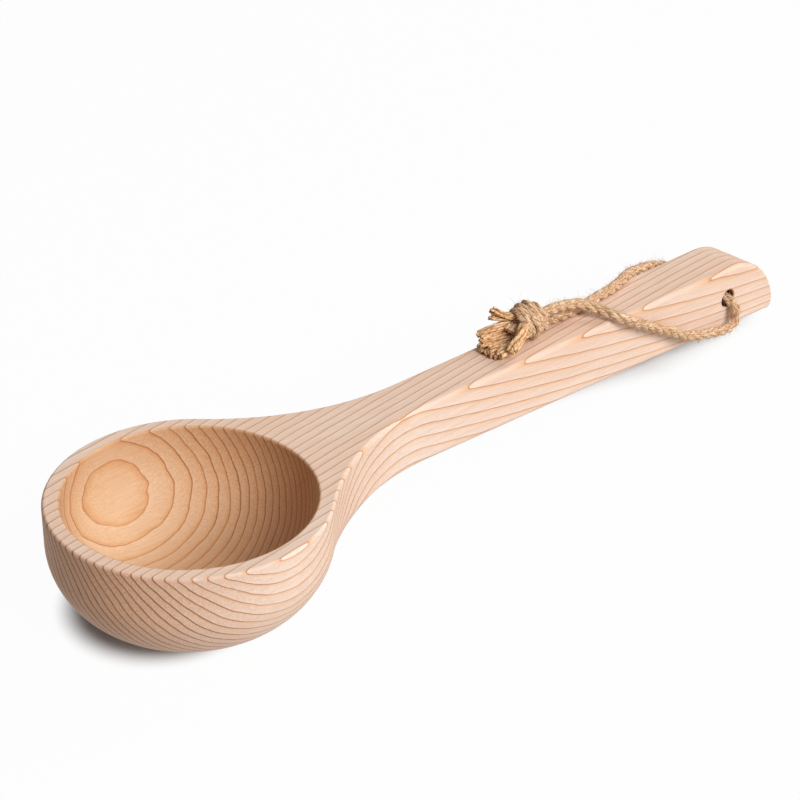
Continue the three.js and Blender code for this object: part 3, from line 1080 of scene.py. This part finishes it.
    def tail(self, board: Board, number: int) -> tuple[bpy.types.Object, list[Array]]:
        """Builds one unlaid strand end, whose yarns part and stop unevenly.

        Args:
            board: The frame that the cord is placed in.
            number: Which one it is.

        Returns:
            The strand end and its yarns' middle lines.
        """
        chance = np.random.default_rng(self.seed + 10 + number)
        middle = smooth_route(board.from_hole(self.tails[number]), 0.5 * MM)
        tubes = TubeMesh(sides=6)
        one, two = moving_axes(middle)
        share = np.linspace(0.0, 1.0, len(middle))[:, None]
        forked = number == self.forked_tail
        radius = self.forked_radius if forked else self.tail_radius
        yarns = self.forked_yarns if forked else self.tail_yarns
        lines = []
        for k in range(yarns):
            angle = 2.4 * k + (2.6 + 0.3 * chance.normal()) * share
            out = radius * MM * math.sqrt((k + 0.5) / yarns)
            out = out * (0.95 + 0.05 * share + chance.uniform(-0.1, 0.3) * share**3)
            line = middle + out * (np.cos(angle) * one + np.sin(angle) * two)
            if forked:
                line = line + np.array([0.0, 0.0, (k % 2 - 0.5) * 2 * self.fork * MM]) * share**3
            stop = len(line) - int(chance.integers(0, 5))
            radii = chance.uniform(0.46, 0.64) * MM * np.linspace(1.0, 1.1, stop)
            tubes.add(line[:stop], radii, 0.3, float(chance.uniform(0, 400)))
            lines.append(line[:stop])
        return tubes.piece(f"cord_tail_{number + 1}"), lines

    def fuzz(self, groups: Sequence[tuple[Sequence[Array], float, int]]) -> bpy.types.Object:
        """Sets loose fibres on strands.

        Args:
            groups: For each group its strands' middle lines, their radius in millimetres and how many
                fibres they get.

        Returns:
            The fibres as one mesh.
        """
        chance = np.random.default_rng(self.seed + 30)
        tubes = TubeMesh(sides=3)
        for lines, radius, count in groups:
            for _ in range(count):
                line = lines[chance.integers(len(lines))]
                i = int(chance.integers(2, len(line) - 2))
                ahead = line[i + 1] - line[i - 1]
                ahead = ahead / np.linalg.norm(ahead)
                out = np.cross(ahead, chance.normal(size=3))
                out = out / np.linalg.norm(out)
                length = chance.uniform(*self.hair_lengths) * MM
                way = ahead * chance.choice([-1, 1]) * chance.uniform(0.6, 1.4)
                way = way + out * chance.uniform(0.15, 0.8) + chance.normal(size=3) * 0.3
                way = way / np.linalg.norm(way)
                curl = np.cross(way, chance.normal(size=3)) * 0.5
                steps = np.linspace(0.0, 1.0, len(self.hair_radii))[:, None]
                start = line[i] + out * radius * 0.92 * MM
                hair = start + way * length * steps + curl * length * steps**2
                tubes.add(hair, np.array(self.hair_radii) * MM)
        return tubes.piece("cord_fuzz")

    def dress(self, board: Board) -> list[bpy.types.Object]:
        """Args:
            board: The frame that the cord is placed in.

        Returns:
            The pieces.
        """
        jute = JuteFinish().material()
        # The unlaid strands take warmer colours, again running from painted highlight through their own
        # colour to painted shade between fibres.
        unlaid = JuteFinish("jute_unlaid_strand", "#F8DDB8", "#E0AD7A", "#8C542E").material()
        loose = JuteFuzzFinish().material()
        rope, line = self.rope(board)
        knot, wraps = self.knot(board)
        made = [self.tail(board, i) for i in range(len(self.tails))]
        tails = [piece for piece, _ in made]
        yarns = [yarn for _, lines in made for yarn in lines]
        on_rope = [line], self.diameter / 2, self.rope_hairs
        fuzz = self.fuzz([on_rope, (wraps, 1.1, self.wrap_hairs), (yarns, 0.45, self.tail_hairs)])
        for piece in (rope, knot):
            piece.data.materials.append(jute)
        for piece in tails:
            piece.data.materials.append(unlaid)
        fuzz.data.materials.append(loose)
        pieces = [rope, knot, *tails, fuzz]
        for piece in pieces:
            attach(piece, Body.CORD.value)
        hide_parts("cord_loop")
        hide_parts("cord_knot")
        for i, tail in enumerate(tails):
            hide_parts(f"tail_strand_{i + 1}")
        return pieces


@dataclass(frozen=True)
class Studio:
    """The white table, the lights and the camera of the photograph."""

    camera_place: Place = (-0.440148, -0.425228, 0.408063)
    camera_azimuth: float = -43.4102
    camera_elevation: float = 32.0318
    focal_pixels: float = 1756.11
    picture_pixels: int = 800
    # The middle of the bowl's shadow and the handle's end, between which the table keeps its shadows.
    bowl_shadow: Place = (-0.1517, 0.008, 0.0)
    end_x: float = 0.17

    def camera(self) -> bpy.types.Object:
        """Sets the camera at the photograph's place and angle.

        Returns:
            The camera.
        """
        data = bpy.data.cameras.new("camera")
        data.sensor_width = 36.0
        data.lens = self.focal_pixels / self.picture_pixels * data.sensor_width
        data.clip_start = 0.01
        data.clip_end = 50.0
        made = bpy.data.objects.new("camera", data)
        made.location = self.camera_place
        tip = math.radians(90 - self.camera_elevation)
        made.rotation_euler = (tip, 0.0, math.radians(self.camera_azimuth))
        bpy.context.scene.collection.objects.link(made)
        bpy.context.scene.camera = made
        return made

    def table(self) -> bpy.types.Object:
        """Lays the white table that takes the shadows.

        Returns:
            The table.
        """
        work = bmesh.new()
        bmesh.ops.create_grid(work, x_segments=1, y_segments=1, size=6.0)
        mesh = bpy.data.meshes.new("table")
        work.to_mesh(mesh)
        work.free()
        made = add_object("table", mesh)
        mesh.materials.append(self.table_card())
        return made

    def table_card(self) -> bpy.types.Material:
        """Makes the table's white card, seen with its shadows near the ladle and burnt out white beyond.

        Returns:
            The material.
        """
        material = bpy.data.materials.new("table_white_card")
        nodes = NodeTree(material)
        place = nodes.add("NewGeometry")
        from_bowl = nodes.add("VectorMath DISTANCE", place, self.bowl_shadow)
        along = nodes.add("SeparateXYZ", place)
        middle = nodes.add("Math MAXIMUM", along, self.bowl_shadow[0])
        middle = nodes.add("Math MINIMUM", middle, self.end_x)
        nearest = nodes.add("CombineXYZ", middle)
        from_handle = nodes.add("VectorMath DISTANCE", place, nearest)
        neck = nodes.add("MapRange", along, From_Min=0.05, From_Max=0.11, To_Min=0.02, To_Max=0.0)
        from_handle = nodes.add("Math ADD", from_handle, neck)
        clear = []
        for distance, dark, white in ((from_bowl, 0.0285, 0.041), (from_handle, -0.002, 0.021)):
            fade = {"interpolation_type": "SMOOTHSTEP", "From_Min": dark, "From_Max": white}
            clear.append(nodes.add("MapRange", distance, To_Max=0.97, **fade))
        share = nodes.add("Math MINIMUM", *clear)
        share = nodes.add("Math MULTIPLY", share, self.seen_rays(nodes))
        card = nodes.add("BsdfDiffuse", linear("#D2D2D2"))
        burnt_out = nodes.add("Emission", WHITE, 1.0)
        nodes.add("OutputMaterial", nodes.add("MixShader", share, card, burnt_out))
        return material

    def seen_rays(self, nodes: NodeTree) -> Socket:
        """Finds the rays in which the background is seen, straight, mirrored or through glass.

        Args:
            nodes: The tree that asks.

        Returns:
            1 for those rays and 0 for the others.
        """
        path = nodes.add("LightPath").node.outputs
        seen = nodes.add("Math MAXIMUM", path["Is Glossy Ray"], path["Is Transmission Ray"])
        return nodes.add("Math MAXIMUM", path["Is Camera Ray"], seen)

    def light(self, name: str, place: Place, size: float, power: float, aim: Place) -> None:
        """Hangs one soft light.

        Args:
            name: The light's name.
            place: Where it hangs, in metres.
            size: The length of its square side, in metres.
            power: Its power in watts.
            aim: The place that it faces.
        """
        data = bpy.data.lights.new(name, "AREA")
        data.shape = "SQUARE"
        data.size = size
        data.energy = power
        made = bpy.data.objects.new(name, data)
        made.location = place
        made.rotation_euler = (Vector(aim) - Vector(place)).to_track_quat("-Z", "Y").to_euler()
        bpy.context.scene.collection.objects.link(made)

    def world(self, strength: float) -> None:
        """Fills the room with even white light, and shows white walls.

        Args:
            strength: The light's strength.
        """
        world = bpy.data.worlds.new("studio")
        bpy.context.scene.world = world
        nodes = NodeTree(world)
        fill = nodes.add("Background", WHITE, strength)
        wall = nodes.add("Background", WHITE, 1.0)
        nodes.add("OutputWorld", nodes.add("MixShader", self.seen_rays(nodes), fill, wall))

    def lights(self) -> None:
        """Sets broad lights at the front and at the right, and lets the room fill the shade a little."""
        self.light("front", (0.0, -2.33, 1.89), 1.5, 95.0, (0.0, 0.0, 0.02))
        self.light("right", (2.36, 0.0, 1.85), 1.5, 27.0, (0.0, 0.0, 0.02))
        self.world(0.18)

    def picture(self) -> None:
        """Shows colours as they are written."""
        bpy.context.scene.view_settings.view_transform = "Standard"


def main() -> None:
    """Builds the studio, the cord and the wood, and reports each piece."""
    logging.basicConfig(level=logging.INFO, format="%(name)s: %(message)s")
    studio = Studio()
    studio.camera()
    studio.picture()
    board = Board.from_record()
    for piece in Cord().dress(board):
        LOG.info("%s has %d faces", piece.name, len(piece.data.polygons))
    wood = Ladle().dress(board)
    LOG.info("%s has %d faces", wood.name, len(wood.data.polygons))
    studio.table()
    studio.lights()


if __name__ == "__main__":
    main()
